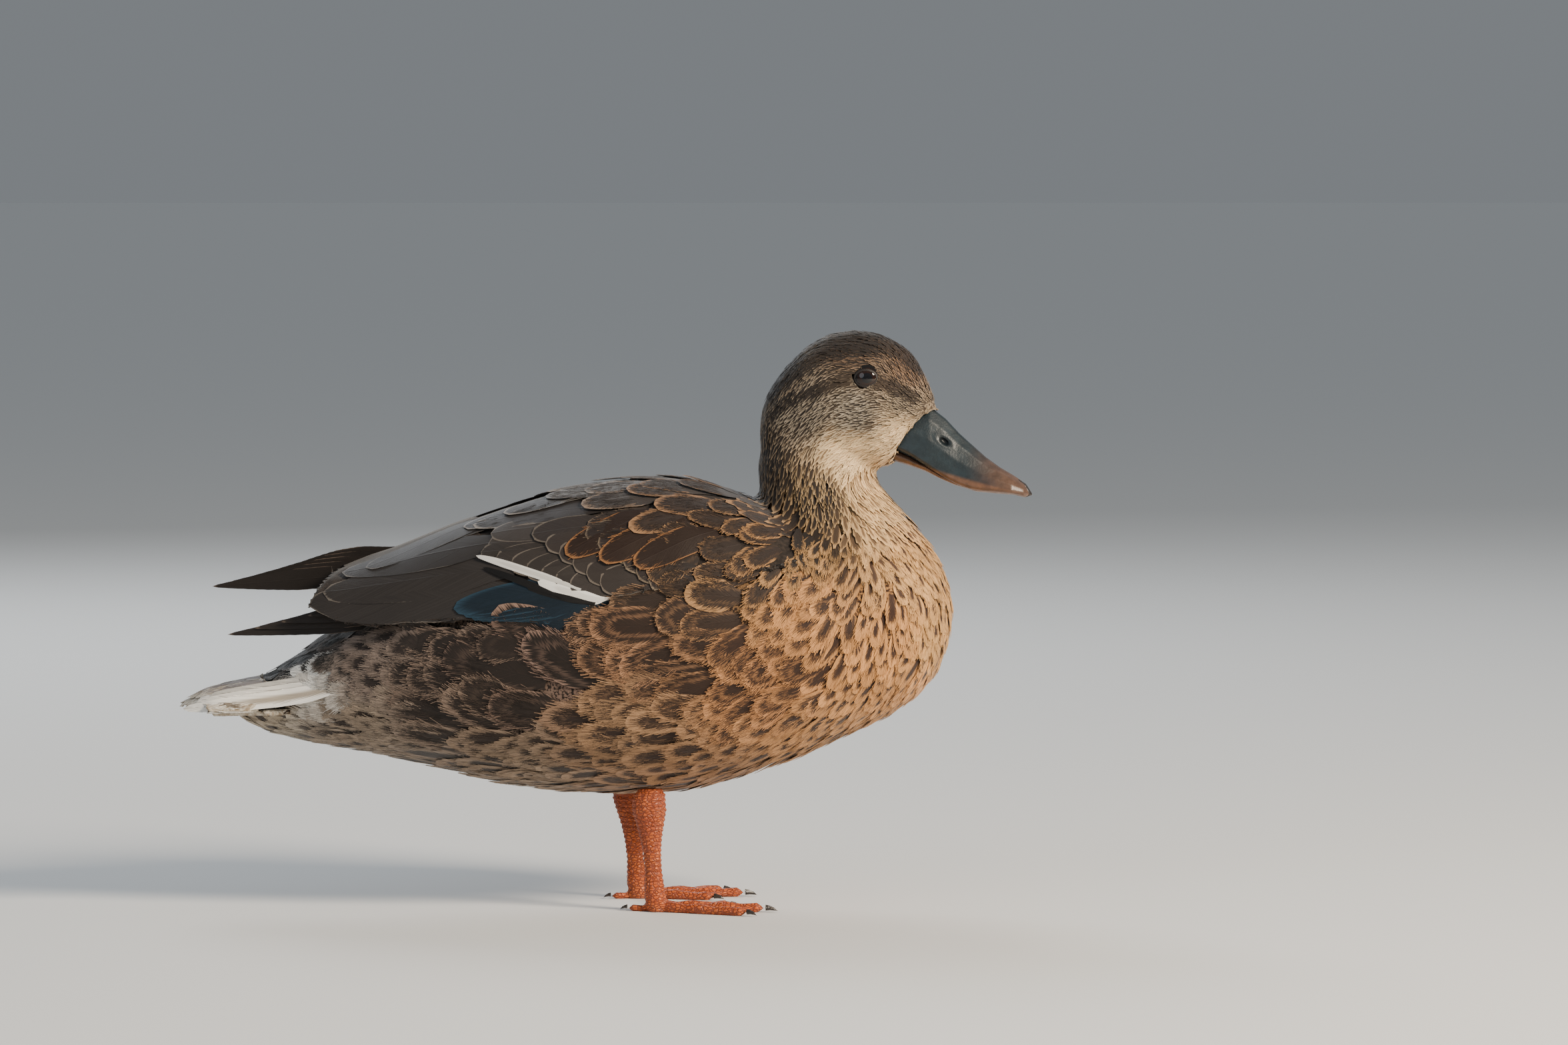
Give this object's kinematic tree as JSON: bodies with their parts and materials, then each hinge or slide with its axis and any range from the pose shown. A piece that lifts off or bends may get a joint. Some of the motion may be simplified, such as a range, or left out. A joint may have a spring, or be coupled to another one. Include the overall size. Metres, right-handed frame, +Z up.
{
  "type": "female mallard duck",
  "caption": "Life-size standing female mallard duck, still, with folded wings and webbed feet, for display or a waterside scene.",
  "frame": {"origin": "middle of the model's bounding box, on the floor plane under its soles", "axes": "+X is the way the body faces, +Y is to the bird's left, +Z is up"},
  "size_m": [0.3566, 0.1246, 0.2416],
  "materials": {
    "head_plumage": "short flat feathers, buff with dark streaks, darker crown and eye line",
    "body_plumage": "overlapping feathers, buff with dark brown centres",
    "wing_coverts": "dark brown feathers with narrow pale fringes",
    "flight_feathers": "dark grey-brown vanes, a blue patch with white bars",
    "tail_feathers": "whitish vanes with brown centres",
    "bill": "satin horn, dark blue-grey with brown and orange edges",
    "nail": "satin dark horn",
    "bill_edge": "satin horn, brownish orange",
    "eye": "wet, glossy, very dark brown",
    "leg_skin": "orange scaled skin with darker creases",
    "claw": "satin dark horn"
  },
  "bodies": {
    "root": {"head": "head_plumage", "neck": "body_plumage", "trunk": "body_plumage", "rump": "body_plumage", "tail": "tail_feathers", "bill_upper": "bill", "bill_nail": "nail", "bill_lower": "bill_edge", "scapulars_right": "wing_coverts", "wing_right": "wing_coverts", "tertials_right": "flight_feathers", "primaries_right": "flight_feathers", "eye_right": "eye", "thigh_right": "body_plumage", "shank_right": "leg_skin", "foot_right": "leg_skin", "claw_inner_right": "claw", "claw_middle_right": "claw", "claw_outer_right": "claw", "claw_hind_right": "claw", "scapulars_left": "wing_coverts", "wing_left": "wing_coverts", "tertials_left": "flight_feathers", "primaries_left": "flight_feathers", "eye_left": "eye", "thigh_left": "body_plumage", "shank_left": "leg_skin", "foot_left": "leg_skin", "claw_inner_left": "claw", "claw_middle_left": "claw", "claw_outer_left": "claw", "claw_hind_left": "claw"}
  },
  "joints": []
}
